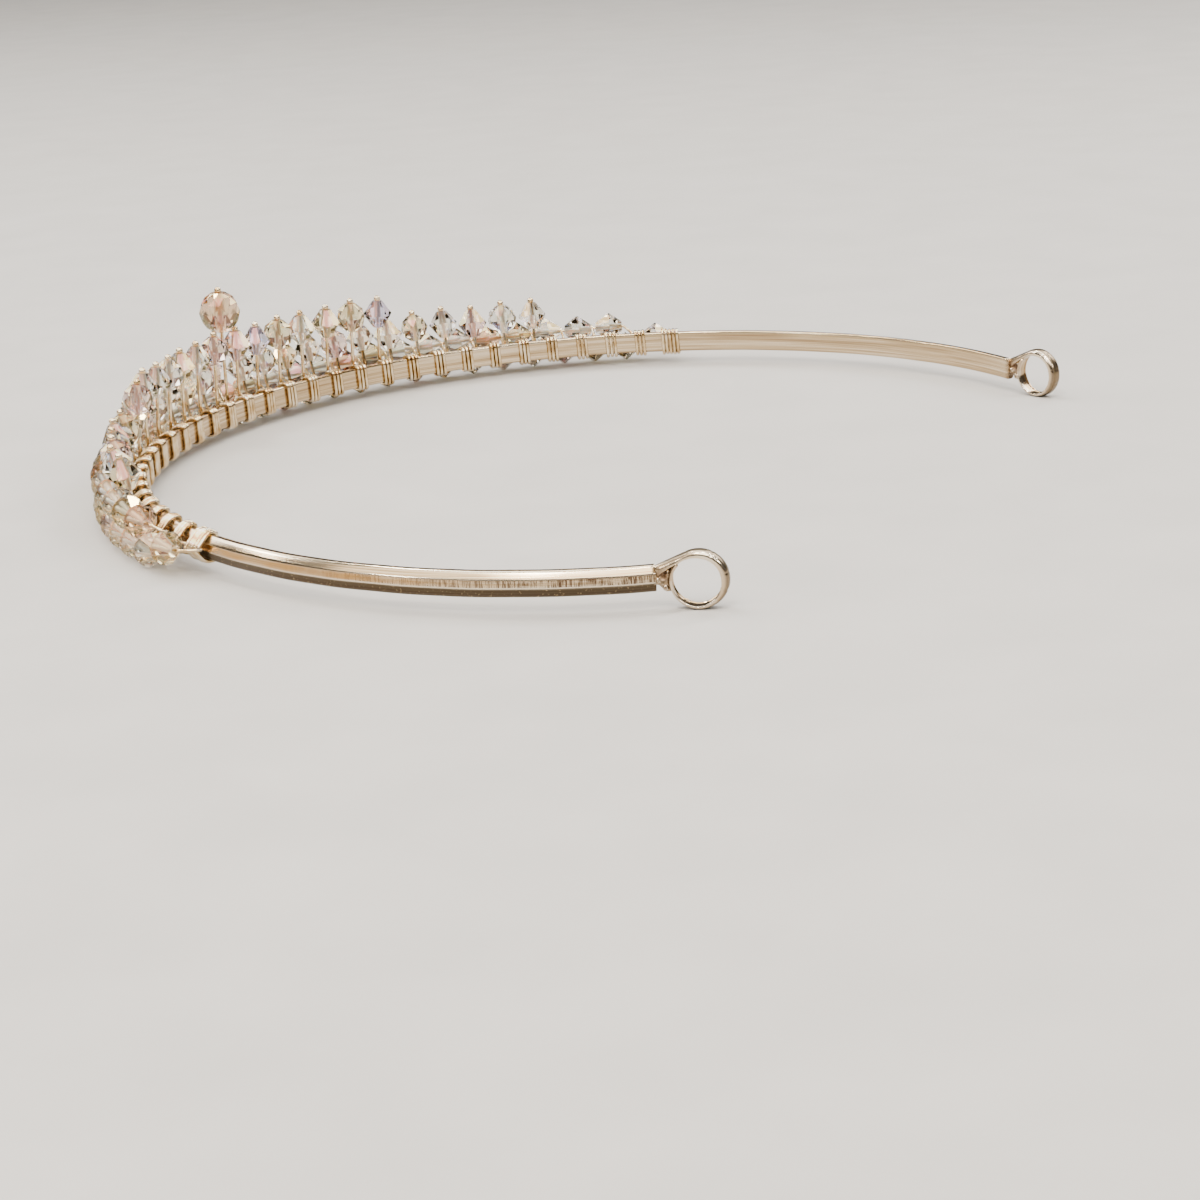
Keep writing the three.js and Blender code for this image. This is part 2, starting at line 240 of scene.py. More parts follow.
# An eyelet is drawn flat round its own centre: x away from the band, y up and z out. The strip's outer
# edge leaves the upper corner of the band in a straight line and runs clockwise round the circle, down to
# a thin tip.
NECK_START = np.array([-EYELET_NECK - 0.5, BAND_HEIGHT / 2 - 0.2])  # just inside the end of the band
NECK_ROWS = 26
LOOP_ROWS = 210
LOOP_TURN = math.radians(331)  # from leaving the neck to the tip
TIP_STEP = math.radians(240)  # where the strip's inner side steps down to the tip

neck_angle = math.atan2(NECK_START[1], NECK_START[0])
leave = neck_angle - math.acos(EYELET_RADIUS / np.linalg.norm(NECK_START))
loop_turned = np.linspace(0, LOOP_TURN, LOOP_ROWS)
loop_angle = leave - loop_turned
loop_edge = EYELET_RADIUS * np.stack([np.cos(loop_angle), np.sin(loop_angle)], -1)
neck_share = np.linspace(0, 1, NECK_ROWS, endpoint=False)[:, None]
neck_edge = NECK_START + neck_share * (loop_edge[0] - NECK_START)
strip_edge = np.concatenate([neck_edge, loop_edge])
strip_inward = np.concatenate([np.repeat(-unit(loop_edge[:1]), NECK_ROWS, axis=0), -unit(loop_edge)])
strip_length = np.concatenate([[0], np.cumsum(np.linalg.norm(np.diff(strip_edge, axis=0), axis=1))])
neck_length = strip_length[NECK_ROWS]

# The forged shape. The strip reaches in from its outer edge to a round hole, whose middle lies low and
# near the band, or as far as its full thickness. FORGED has columns for the length along the strip, its
# full thickness, its width, and how square its inner half is. TONGUE has columns for the radians turned
# round the loop and the share of thickness that the rear edge gains: it swells, and then steps down to a
# thin tongue.
HOLE_RADIUS = 2.9
HOLE_OFFSET = -0.27  # the hole's middle from the eyelet's, towards the band and down
from_hole = strip_edge - HOLE_OFFSET
inward_share = (from_hole * strip_inward).sum(axis=1)
past_rim = (from_hole**2).sum(axis=1) - HOLE_RADIUS**2
to_hole = -inward_share - np.sqrt(np.maximum(inward_share**2 - past_rim, 0))
FORGED = np.array([
    (0, 1.5, 0.5, 2.1), (0.45, 1.4, 1.3, 2.1), (0.9, 1.2, 1.5, 2.1), (2.2, 0.95, 1.75, 2.2),
    (neck_length, 0.9, 1.9, 2.6), (neck_length + 3, 0.9, 1.9, 4.0), (neck_length + 12, 0.9, 1.9, 5.0),
])
full_thickness, strip_width, inner_squareness = (
    np.interp(strip_length, FORGED[:, 0], column) for column in FORGED[:, 1:].T
)
strip_thickness = np.minimum(to_hole, full_thickness)
TONGUE = np.array([
    (0, 0), (TIP_STEP - 0.2, 0), (TIP_STEP - 0.03, 0.25), (TIP_STEP, -0.1), (LOOP_TURN, -0.3),
])
tongue = np.interp((strip_length - neck_length) / EYELET_RADIUS, *TONGUE.T)

# Small dents that the pliers pressed across the strip, each as (degrees round from +x, depth).
MARK_SPREAD = 2.2  # degrees
PLIERS_MARKS = np.array([(64, 0.05), (52, 0.03), (14, 0.035), (-22, 0.05), (-60, 0.03), (118, 0.03)])
strip_bearing = np.degrees(np.arctan2(strip_edge[:, 1], strip_edge[:, 0]))
from_mark = strip_bearing[:, None] - PLIERS_MARKS[:, 0]
dents = np.exp(-((from_mark / MARK_SPREAD) ** 2)) @ PLIERS_MARKS[:, 1]


def superellipse(turn, exponent):
    """Points round |x|^n + |y|^n = 1: the cosine and sine, each to the power 2/n with its sign kept."""
    both = np.stack([np.cos(turn), np.sin(turn)], -1)
    return np.sign(both) * np.abs(both) ** (2 / exponent)


# The strip kept the wire's domed face outside. Its inner face was hammered flat, which burred both edges
# up into low lips. Across its section `inward` runs from -1 at the outer face to 1, and `rearward` from
# -1 at the near edge to 1.
STRIP_COLUMNS = 48
DOME_SQUARENESS = 2.3
WIDEST_AT = 0.75  # share of the thickness, from the outer face in, where the strip is widest
LIP_HEIGHT = 0.11
LIP_FROM, LIP_TO = 3, 6  # lengths between which the lips rise
strip_turn = np.linspace(0, 2 * np.pi, STRIP_COLUMNS, endpoint=False)
squareness = np.where(np.cos(strip_turn) < 0, DOME_SQUARENESS, inner_squareness[:, None])
inward, rearward = np.moveaxis(superellipse(strip_turn, squareness[..., None]), -1, 0)
tongue_share = np.clip(0.5 + rearward, 0, 1) * tongue[:, None]
depth_share = WIDEST_AT + np.where(inward > 0, 1 - WIDEST_AT, WIDEST_AT) * inward
lip = smoothstep(rearward, 0.6, 0.85) * np.clip(2 * inward, 0, 1)
lip_height = LIP_HEIGHT * lip * smoothstep(strip_length, LIP_FROM, LIP_TO)[:, None]
strip_depth = strip_thickness[:, None] * (1 + tongue_share) * depth_share + dents[:, None] + lip_height
strip_xy = strip_edge[:, None] + strip_depth[..., None] * strip_inward[:, None]
strip_z = -strip_width[:, None] / 2 * rearward
strip_grid = np.concatenate([strip_xy, strip_z[..., None]], -1)

# Solder fills the corner between the end of the band, the neck and the loop. Its left edge is given as
# (x, y) from the neck down, its right edge follows the loop between two bearings, and it froze in bumps
# and hollows, each as (x, y, height, spread). A last drop hangs below with a pit in its face, where the
# flux boiled off.
WEB_LEFT = np.array([
    (-4.7, 1.0), (-5.0, 0.5), (-5.22, -0.2), (-5.24, -0.66), (-4.7, -0.72), (-4.3, -1.1), (-3.9, -1.5),
])
WEB_BEARINGS = np.radians([153, 204])
WEB_OVERLAP = 0.12  # how far the web runs into the loop
WEB_HALF_DEPTH = 0.5
WEB_SQUARENESS = 2.6
WEB_BLUNT = 0.06  # share of the half turn that is left out at each end, so that neither comes to a point
WEB_BUMPS = np.array([
    (-5.12, -0.5, 0.3, 0.2), (-4.8, 0.05, 0.34, 0.2), (-4.62, -0.3, 0.16, 0.16),
    (-3.5, 0.95, 0.36, 0.22), (-3.42, 0.35, 0.22, 0.16), (-4.1, 0.28, -0.34, 0.3),
    (-3.88, 0.72, -0.4, 0.16), (-4.5, 0.55, -0.2, 0.2), (-3.6, -1.35, 0.1, 0.2), (-4.2, -0.55, 0.1, 0.2),
])
WEB_ROWS, WEB_COLUMNS = 60, 72
DROP_MIDDLE = np.array([-3.87, -0.98, 0.34])
DROP_RADIUS = 0.38
DROP_POLE = 0.02  # radians left open at each pole, which a fan shuts
PIT_DEPTH, PIT_SPREAD = 0.18, 0.5


def solder_web():
    """Rounded sections from the left edge to the loop, each a superellipse of depth WEB_HALF_DEPTH times
    the square root of sin(pi u) down the web, whose near face is raised by the bumps, height times
    exp(-(distance/spread)²)."""
    down = np.linspace(0, 1, WEB_ROWS)
    corner = np.linspace(0, 1, len(WEB_LEFT))
    left = np.stack([np.interp(down, corner, values) for values in WEB_LEFT.T], -1)
    bearing = WEB_BEARINGS[0] + down * (WEB_BEARINGS[1] - WEB_BEARINGS[0])
    right = (EYELET_RADIUS - WEB_OVERLAP) * np.stack([np.cos(bearing), np.sin(bearing)], -1)
    section = superellipse(np.linspace(0, 2 * np.pi, WEB_COLUMNS, endpoint=False), WEB_SQUARENESS)
    flat = (left + right)[:, None] / 2 + section[:, :1] * (right - left)[:, None] / 2
    away = np.linalg.norm(flat[..., None, :] - WEB_BUMPS[:, :2], axis=-1)
    bumps = np.exp(-((away / WEB_BUMPS[:, 3]) ** 2)) @ WEB_BUMPS[:, 2]
    rounding = np.sqrt(np.sin(np.pi * (WEB_BLUNT + (1 - 2 * WEB_BLUNT) * down)))[:, None]
    height = section[:, 1] * WEB_HALF_DEPTH * rounding + np.maximum(section[:, 1], 0) * bumps
    return np.concatenate([flat, height[..., None]], -1), bumps


def solder_drop(rows, columns):
    """A ball whose radius sinks by PIT_DEPTH times exp(-(angle from +Z over PIT_SPREAD)²)."""
    down = np.linspace(DROP_POLE, np.pi - DROP_POLE, rows)[:, None]
    turn = np.linspace(0, 2 * np.pi, columns, endpoint=False)
    ring = np.sin(down)
    way = np.stack(np.broadcast_arrays(ring * np.cos(turn), ring * np.sin(turn), -np.cos(down)), -1)
    pit = np.exp(-(((np.pi - down) / PIT_SPREAD) ** 2)) * np.ones(columns)
    return DROP_MIDDLE + (DROP_RADIUS - PIT_DEPTH * pit)[..., None] * way, pit


def eyelet_place(side, drawing):
    """Points of an eyelet's drawing in the frame, on the wearer's left for side 1 and on their right for
    -1. The drawing is turned outward by EYELET_FLARE about the square end of the band."""
    middle, tangent, outward = station(side * HALF_LENGTH)
    away, out = side * tangent, side * outward
    cosine, sine = math.cos(EYELET_FLARE), side * math.sin(EYELET_FLARE)
    axes = np.stack([cosine * away + sine * out, UP, cosine * out - sine * away])
    return middle - EYELET_NECK * away + (drawing + [EYELET_NECK, 0, 0]) @ axes


def with_ends(grid):
    """A pattern's grid as a swept shell needs it, with the middles of both ends after the rows."""
    flat = grid.reshape(-1, *grid.shape[2:])
    return np.concatenate([flat, grid[[0, -1]].mean(axis=1)])


web, web_bumps = solder_web()
drop, pit = solder_drop(rows=24, columns=32)
strip_drawn = np.stack(np.broadcast_arrays(strip_length[:, None], strip_depth, strip_z), -1)

# Where the eyelet has changed, and where light and shade are painted on it. Flux has browned the solder's
# hollows and the strip round the joint. The strip's outer face carries a painted dim reflection, and the
# solder's hollows and the drop's pit carry painted shade. A painted highlight lies on the near face: faint
# everywhere, stronger low down, and strongest at the upper right, where it runs out over the shoulder. The
# solder's bumps and the drop away from its pit carry painted highlights too.
JOINT = np.array([-4.4, 0.4])
MOST_HIGHLIGHT, HIGHLIGHT_SPREAD = 68, 38  # degrees round from +x
LOW_DOWN = -50  # and below this bearing
at_joint = np.exp(-((strip_xy - JOINT) ** 2).sum(axis=-1))
web_hollow = np.clip(0.7 - 3.0 * web_bumps, 0.08, 0.95)
outer_face = np.clip(-2 * inward, 0, 1) * smoothstep(strip_length, 0.5, 2)[:, None]
near_face = np.clip(-2 * rearward, 0, 1) * np.clip(0.9 + inward, 0, 1)
upper_right = np.exp(-(((strip_bearing - MOST_HIGHLIGHT) / HIGHLIGHT_SPREAD) ** 2))
highlight_share = 0.35 + 0.65 * upper_right + 0.4 * (strip_bearing < LOW_DOWN)
shoulder = smoothstep(np.maximum(-rearward, 0), 0.5, 0.8) * upper_right[:, None]
edge_highlight = np.maximum(near_face * highlight_share[:, None], shoulder)

# One entry for each shell of an eyelet: the strip, the web of solder and the drop. Their grain starts at
# places along the wire that are past the band's, and that lie apart.
GRAIN_STARTS = np.array([(300, 0, 0), (400, 0, 0), (420, 0, 0)])
eyelet_grids = [strip_grid, web, drop]
eyelet_patterns = {
    "drawn": [grid + start for grid, start in zip((strip_drawn, web, drop), GRAIN_STARTS)],
    # Painted highlights: on the strip's near face and shoulder, on the solder's bumps, and on the drop
    # round its pit.
    "painted_highlight": [edge_highlight, np.clip(3 * web_bumps, 0, 0.7), 0.6 - 0.6 * pit],
    # Painted shade: a dim reflection on the strip's outer face, and shade in the solder's hollows and the
    # drop's pit.
    "painted_shade": [0.7 * outer_face * (1 - shoulder), np.clip(-3 * web_bumps, 0, 0.9), 0.9 * pit],
    "chattered": [np.zeros_like(strip_depth), np.zeros_like(web_bumps), np.zeros_like(pit)],
    "golden": [np.full_like(strip_depth, 0.25), np.zeros_like(web_bumps), np.zeros_like(pit)],
    "fluxed": [0.9 * at_joint, web_hollow, 0.25 + 0.75 * pit],
}

band_shells = [band_shell]
for side in (1, -1):
    band_shells += [swept(eyelet_place(side, grid)) for grid in eyelet_grids]
    for pattern, grids in eyelet_patterns.items():
        patterns[pattern] += grids


def srgb(hex_colour):
    """A hex colour as linear red, green and blue by the sRGB curve, with alpha 1."""
    shares = np.array([int(hex_colour[i:i + 2], 16) for i in (1, 3, 5)]) / 255
    linear = np.where(shares <= 0.04045, shares / 12.92, ((shares + 0.055) / 1.055) ** 2.4)
    return (*linear.tolist(), 1.0)


def add_node(tree, kind, inputs=None, stops=(), **settings):
    """A node with its settings, and its sockets, by name or number, linked to an output or set to a
    value. A map range takes the value, the two ends it comes from and the two it goes to as 0 to 4, and a
    mix of colours takes them as 6 and 7. The stops of a colour ramp are pairs of place and hex colour."""
    node = tree.nodes.new(kind)
    for key, value in settings.items():
        setattr(node, key, value)
    for key, value in (inputs or {}).items():
        if isinstance(value, bpy.types.NodeSocket):
            tree.links.new(value, node.inputs[key])
        else:
            node.inputs[key].default_value = value
    for index, (spot, colour) in enumerate(stops):
        elements = node.color_ramp.elements
        element = elements[index] if index < len(elements) else elements.new(spot)
        element.position = spot
        element.color = srgb(colour)
    return node


def new_material(name):
    """An empty material with its output, its node tree and the Principled shader that feeds the output."""
    material = bpy.data.materials.new(name)
    material.use_nodes = True
    tree = material.node_tree
    tree.nodes.clear()
    shader = add_node(tree, "ShaderNodeBsdfPrincipled")
    add_node(tree, "ShaderNodeOutputMaterial", {"Surface": shader.outputs["BSDF"]})
    return material, tree, shader


def plated_drawn_brass():
    """Champagne-nickel plate on drawn brass. Drawing leaves fine lines along the wire, the forming roll
    leaves brown chatter across the middle flat, and the plate yellows where it wears thin. Painted
    highlights lie on the corners, and a painted dark reflection and shade on the lower slope."""
    material, tree, shader = new_material("plated_drawn_brass")
    along_wire = add_node(tree, "ShaderNodeAttribute", attribute_name="drawn").outputs["Vector"]
    painted_highlight, painted_shade, chattered, golden, fluxed = (
        add_node(tree, "ShaderNodeAttribute", attribute_name=name).outputs["Fac"]
        for name in ("painted_highlight", "painted_shade", "chattered", "golden", "fluxed")
    )

    # Noise stretched along the wire, as (scale along, scale across, detail, roughness) in periods a
    # millimetre: die lines 0.12 mm apart and 20 mm long, broad lines 0.4 mm apart, patches 5 mm long,
    # chatter across the flat, and specks 0.3 mm apart. The chatter is really 0.15 mm apart, and is drawn
    # at 0.22 mm so that it shows.
    grain = []
    for scale_along, scale_across, detail, roughness in (
        (0.05, 8.0, 5, 0.6),
        (0.03, 2.4, 2, 0.5),
        (0.22, 0.8, 3, 0.6),
        (4.6, 0.45, 5, 0.75),
        (3.3, 3.3, 2, 0.5),
    ):
        scale = (scale_along, scale_across, scale_across)
        stretched = add_node(tree, "ShaderNodeMapping", {"Vector": along_wire, "Scale": scale})
        noise = {"Vector": stretched.outputs[0], "Scale": 1, "Detail": detail, "Roughness": roughness}
        grain.append(add_node(tree, "ShaderNodeTexNoise", noise).outputs[0])
    die_lines, broad_lines, patches, chatter, specks = grain

    # Chatter comes in clumps: it shows where the fine noise and the patches are both high.
    clumps = add_node(tree, "ShaderNodeMapRange", {0: patches, 1: 0.3, 2: 0.46}).outputs[0]
    strokes = add_node(tree, "ShaderNodeMapRange", {0: chatter, 1: 0.44, 2: 0.54}).outputs[0]
    clumped = add_node(tree, "ShaderNodeMath", {0: strokes, 1: clumps}, operation="MULTIPLY").outputs[0]
    worn = add_node(tree, "ShaderNodeMath", {0: clumped, 1: chattered}, operation="MULTIPLY").outputs[0]

    # The gold is patchy, and lighter specks break up the painted shade.
    gilt = add_node(tree, "ShaderNodeMapRange", {0: patches, 1: 0.35, 2: 0.6, 3: 0.4, 4: 1}).outputs[0]
    gilded = add_node(tree, "ShaderNodeMath", {0: gilt, 1: golden}, operation="MULTIPLY").outputs[0]
    bright = add_node(tree, "ShaderNodeMapRange", {0: specks, 1: 0.62, 2: 0.72}).outputs[0]
    specked = add_node(tree, "ShaderNodeMath", {0: bright, 1: painted_shade}, operation="MULTIPLY").outputs[0]

    # The plate's own colour follows the sum of both kinds of line, each at half strength.
    half = {0: broad_lines, 1: 0.5, 2: 0.25}
    lined = add_node(tree, "ShaderNodeMath", half, operation="MULTIPLY_ADD").outputs[0]
    other_half = {0: die_lines, 1: 0.5, 2: lined}
    mixed = add_node(tree, "ShaderNodeMath", other_half, operation="MULTIPLY_ADD").outputs[0]
    plate_colours = [(0.62, "#9A8061"), (0.74, "#C2AA86"), (0.86, "#DDCCB0")]
    colour = add_node(tree, "ShaderNodeValToRGB", {0: mixed}, plate_colours).outputs[0]
    # Each change, painted highlights and painted shade among them, lays its colour over the last: the mask,
    # how strong it is, and the colour.
    layers = [
        (gilded, 0.8, "#B98B4E"), (painted_shade, 0.9, "#3D342A"), (specked, 0.6, "#B9A27C"),
        (painted_highlight, 0.7, "#F3E8D4"), (worn, 0.9, "#50382A"), (fluxed, 0.85, "#775A42"),
    ]
    for mask, strength, laid in layers:
        cover = {0: mask, 1: strength}
        share = add_node(tree, "ShaderNodeMath", cover, operation="MULTIPLY", use_clamp=True).outputs[0]
        over = {"Factor": share, 6: colour, 7: srgb(laid)}
        colour = add_node(tree, "ShaderNodeMix", over, data_type="RGBA").outputs[2]

    # Polished plate, roughened by each change. The die lines stand up and the chatter is cut in.
    rough = 0.08
    for mask, amount in ((broad_lines, 0.2), (worn, 0.3), (painted_shade, 0.16), (fluxed, 0.2)):
        added = {0: mask, 1: amount, 2: rough}
        rough = add_node(tree, "ShaderNodeMath", added, operation="MULTIPLY_ADD").outputs[0]
    ridges = add_node(tree, "ShaderNodeMath", {0: die_lines, 1: 0.5}, operation="MULTIPLY").outputs[0]
    cut_in = {0: worn, 1: -0.8, 2: ridges}
    height = add_node(tree, "ShaderNodeMath", cut_in, operation="MULTIPLY_ADD").outputs[0]
    relief = add_node(tree, "ShaderNodeBump", {"Height": height, "Strength": 0.35, "Distance": 0.04 * MM})
    for socket, output in (("Base Color", colour), ("Roughness", rough), ("Normal", relief.outputs[0])):
        tree.links.new(output, shader.inputs[socket])
    shader.inputs["Metallic"].default_value = 1
    return material


headband = make_mesh("plated_headband", band_shells, plated_drawn_brass(), **{
    pattern: np.concatenate([with_ends(grid) for grid in grids]) for pattern, grids in patterns.items()
})
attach(headband, "root")
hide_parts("headband")


# ---------------------------------------------------------------- binding wire
# Soft silver-champagne plated wire, wound three times round the band at every other bead. It holds a
# carrier wire along the outer face, the ties of both bead rows, and the ball-headed pins, whose feet coil
# round the carrier.

HALF_PITCH = 2.375  # half the spacing of the beads along the band
ROW_LAST = 30  # half pitches from the front to the end of the full rows, where a half pitch is one step
BEAD_RADIUS = 2.2
BEAD_SLENDERNESS = 0.96  # half the length of a bead over its radius
BORE_RADIUS = 0.36
ROW_OUT = 4.0
CARRIER_OUT = 1.38
WIRE_RADIUS = 0.25


def wander(index, channel):
    """A number between -1 and 1 that is always the same for the same bead or coil and channel, which is a
    number for each thing that scatters. It is twice the part after the point of 43758.5453 times the sine
    of 12.9898 index plus 78.233 channel, less 1."""
    turn = np.sin(np.asarray(index) * 12.9898 + channel * 78.233) * 43758.5453
    return 2 * (turn - np.floor(turn)) - 1


def tube(path, radius, across, sides=8, closed=False):
    """A grid of circles round a path, in the plane of two directions square to it. The first is also
    square to `across`, which the path never follows."""
    if closed:
        travel = unit(np.roll(path, -1, axis=0) - np.roll(path, 1, axis=0))
    else:
        travel = unit(np.gradient(path, axis=0))
    first = unit(np.cross(travel, across))
    second = np.cross(travel, first)
    turn = np.linspace(0, 2 * np.pi, sides, endpoint=False)[:, None]
    ring = np.cos(turn) * first[:, None] + np.sin(turn) * second[:, None]
    return path[:, None] + np.broadcast_to(radius, len(path))[:, None, None] * ring


COIL_TURNS = 3
END_COIL_TURNS = 5
COIL_PITCH = 0.62
COIL_CLEAR = 0.02  # between the wire and the band's faces
UPPER_SPAN, LOWER_SPAN = 0.2, 0.3  # how far past the band's shoulders the wire bends, to span the slopes
COIL_SOFTNESS = [0.2, 0.6, 0.5, 0.5, 0.6, 0.2]
ROWS_A_TURN = 34
PITCH_SCATTER, COIL_SCATTER = 0.06, 0.1  # of a coil's pitch, as a share, and of its place along
SLACK = 0.02  # share by which a turn widens and narrows on its way round


def round_the_band(turns):
    """Places (out, up) of wound wire after so many turns: the band's outline grown by the wire's radius
    and peaked over the carrier, followed at an even rate from the middle of the outer face."""
    grown = WIRE_RADIUS + COIL_CLEAR
    peak, peak_half = CARRIER_OUT + 2 * WIRE_RADIUS, WIRE_RADIUS
    corners = [
        (peak, -peak_half), (LOW_SHOULDER + LOWER_SPAN, -top - grown), (-front - grown, -top - grown),
        (-front - grown, top + grown), (SHOULDER + UPPER_SPAN, top + grown), (peak, peak_half),
    ]
    outline = soft_outline(corners, COIL_SOFTNESS, steps=7)
    outline = np.concatenate([outline, outline[:1]])
    covered = np.concatenate([[0], np.cumsum(np.linalg.norm(np.diff(outline, axis=0), axis=1))])
    at = turns % 1 * covered[-1]
    return np.interp(at, covered, outline[:, 0]), np.interp(at, covered, outline[:, 1])


last_coil = ROW_LAST + 3
wire_shells = []
for step in range(-last_coil, last_coil + 1, 2):
    turns_here = END_COIL_TURNS if abs(step) == last_coil else COIL_TURNS
    turns = np.linspace(0, turns_here, turns_here * ROWS_A_TURN + 1)
    pitch = COIL_PITCH * (1 + PITCH_SCATTER * wander(step, 5))
    coil_along = step * HALF_PITCH + pitch * (turns - turns_here / 2) + COIL_SCATTER * wander(step, 6)
    out, up = round_the_band(turns)
    slack = 1 + SLACK * np.sin(2 * turns + step)
    path = place(coil_along, out * slack, up * slack)
    wire_shells.append(swept(tube(path, WIRE_RADIUS, station(step * HALF_PITCH)[1])))

CARRIER_WAVE, CARRIER_WAVE_RATE = 0.05, 0.9  # height, and radians in a millimetre
carrier_along = np.linspace(-last_coil, last_coil, 6 * last_coil) * HALF_PITCH
carrier_up = CARRIER_WAVE * np.sin(carrier_along * CARRIER_WAVE_RATE)
wire_shells.append(swept(tube(place(carrier_along, CARRIER_OUT, carrier_up), WIRE_RADIUS, UP)))

# The rows that the ties hold: the steps of the first and last bead, how far up from the middle line their
# middles are, and how far that scatters. The lower row's last bead climbs to the middle of the band.
ROWS = {
    "lower_row": {"first": 0, "last": ROW_LAST + 2, "up": BEAD_RADIUS - EYELET_RADIUS, "scatter": 0.0},
    "upper_row": {"first": 1, "last": ROW_LAST - 1, "up": 1.95, "scatter": 0.15},
}
TIE_RADIUS = 0.17
TIE_TWIST = 0.22  # how far a tie strays along the band on its way round


def row_up(row, step):
    """How far up a bead is: the row's own height, brought to 0 beyond the full rows, and its scatter."""
    return row["up"] * (1 - smoothstep(step, ROW_LAST, ROW_LAST + 2)) + row["scatter"] * wander(step, 1)


def tie(step, up):
    """A closed loop of wire round the carrier and round the thread of a row: two half circles in the
    plane across the band, whose ends the wire joins in straight runs."""
    carrier, thread = np.array([CARRIER_OUT, 0.0]), np.array([ROW_OUT, up])
    lengthwise = unit(thread - carrier)
    sideways = np.array([-lengthwise[1], lengthwise[0]])
    gap = WIRE_RADIUS + TIE_RADIUS
    turn = np.linspace(-np.pi / 2, np.pi / 2, 9)[:, None]
    arc = np.cos(turn) * lengthwise + np.sin(turn) * sideways
    run = np.linspace(0, 1, 8)[1:-1, None]
    far, near = thread + gap * arc, carrier - gap * arc
    back = near[0] * run + far[-1] * (1 - run)
    forth = far[0] * run + near[-1] * (1 - run)
    out, up = np.concatenate([far, back, near, forth]).T
    twist = TIE_TWIST * np.sin(np.linspace(0, 2 * np.pi, len(out), endpoint=False))
    path = place(step * HALF_PITCH + twist, out, up)
    return swept(tube(path, TIE_RADIUS, station(step * HALF_PITCH)[1], sides=6, closed=True), closed=True)


for row in ROWS.values():
    for step in range(1 - row["last"], row["last"], 2):
        wire_shells.append(tie(step, (row_up(row, step - 1) + row_up(row, step + 1)) / 2))

# Beads on pins. Front crystals stand between the beads of the upper row, and crest crystals between
# those. At the front a tier stands higher by its rise and further out by its forward, and sinks a little
# at its ends.
TIERS = {
    "front_crystal": {"first": 0, "last": 24, "up": 5.3, "rise": 0.4, "out": 2.6, "forward": 1.7},
    "crest_crystal": {"first": 1, "last": 13, "up": 9.15, "rise": 0.4, "out": 1.0, "forward": 0.0},
}
RISE_SPAN = 9.0  # along the band, how quickly a tier falls from its rise at the front
TIER_END = {"from": 14, "to": 26, "drop": 0.5}  # half pitches over which a tier sinks, and how far
PEAK_ROOM = 0.45  # how far the crystals beside the peak's pin stand aside for it
PLACE_SCATTER = 0.25
SIZE_SCATTER = 0.05
PEAK = {
    "name": "peak_crystal", "step": 0, "index": 0, "along": 0.0, "radius": 3.0, "out": 1.4, "up": 14.8,
}


def pinned_beads():
    """Each bead on a pin, from the wearer's right to their left, tier by tier, with the peak last. A tier
    rises by exp(-(along/span)²) at the front."""
    beads = []
    for tier_name, tier in TIERS.items():
        reach = tier["last"]
        for index, step in enumerate(range(-reach, reach + 1, 2)):
            aside = PEAK_ROOM * np.sign(step) * math.exp(-((step / 2) ** 2))
            along = step * HALF_PITCH + aside
            sunk = TIER_END["drop"] * smoothstep(step, TIER_END["from"], TIER_END["to"])
            up = tier["up"] + tier["rise"] * math.exp(-((along / RISE_SPAN) ** 2)) - sunk
            out = tier["out"] + tier["forward"] * math.exp(-((along / HALF_PITCH) ** 2))
            beads.append({
                "name": f"{tier_name}_{index + 1:02d}",
                "step": step,
                "index": index,
                "along": along,
                "radius": BEAD_RADIUS * (1 + SIZE_SCATTER * wander(step, 2)),
                "out": out + PLACE_SCATTER * wander(step, 3),
                "up": up + PLACE_SCATTER * wander(step, 4),
            })
    return beads + [PEAK]


def lean_of(bead):
    """A pin's foot on the carrier, its bead's middle, and the direction from one to the other."""
    foot = place(bead["along"], CARRIER_OUT, 0.0)
    middle = place(bead["along"], bead["out"], bead["up"])
    return foot, middle, unit(middle - foot)


BALL_RADIUS = 0.5
BALL_ARC = np.linspace(-1.05, 1.5, 12)  # radians above the ball's middle, from the shaft to the top
BALL_FLAT = 0.04  # radius of the flat on top
SHAFT_START = 0.4  # from the carrier's middle
SHAFT_ROWS = 6
FOOT_RADIUS = 0.19  # of the wire, which thins where it is wound
FOOT_PITCH = 0.42
FOOT_TURNS = 2


def pin(bead):
    """A pin as a tube along its lean whose radius swells to sqrt(R² - d²) over the ball, and two turns of
    its foot round the carrier."""
    foot, middle, lean = lean_of(bead)
    ball_at = bead["radius"] * BEAD_SLENDERNESS + math.sqrt(BALL_RADIUS**2 - BORE_RADIUS**2)
    length = np.linalg.norm(middle - foot) + ball_at
    shaft_down = np.linspace(SHAFT_START, length - BALL_RADIUS, SHAFT_ROWS)
    down = np.concatenate([shaft_down, length + BALL_RADIUS * np.sin(BALL_ARC)])
    radius = np.maximum(np.sqrt(np.maximum(BALL_RADIUS**2 - (down - length) ** 2, 0)), BALL_FLAT)
    radius[:SHAFT_ROWS] = WIRE_RADIUS
    path = foot + down[:, None] * lean
    _, tangent, outward = station(bead["along"])
    shaft = swept(tube(path, radius, tangent, sides=12))
    turn = np.linspace(0, 2 * np.pi * FOOT_TURNS, 20 * FOOT_TURNS)[:, None]
    start = math.atan2(lean @ UP, lean @ outward)
    ring = np.cos(turn + start) * outward + np.sin(turn + start) * UP
    coil_along = (turn / (2 * np.pi) - FOOT_TURNS / 2) * FOOT_PITCH
    coil = foot + (WIRE_RADIUS + FOOT_RADIUS) * ring + coil_along * tangent
    return shaft, swept(tube(coil, FOOT_RADIUS, tangent, sides=6))


beads = pinned_beads()
for bead in beads:
    wire_shells += pin(bead)


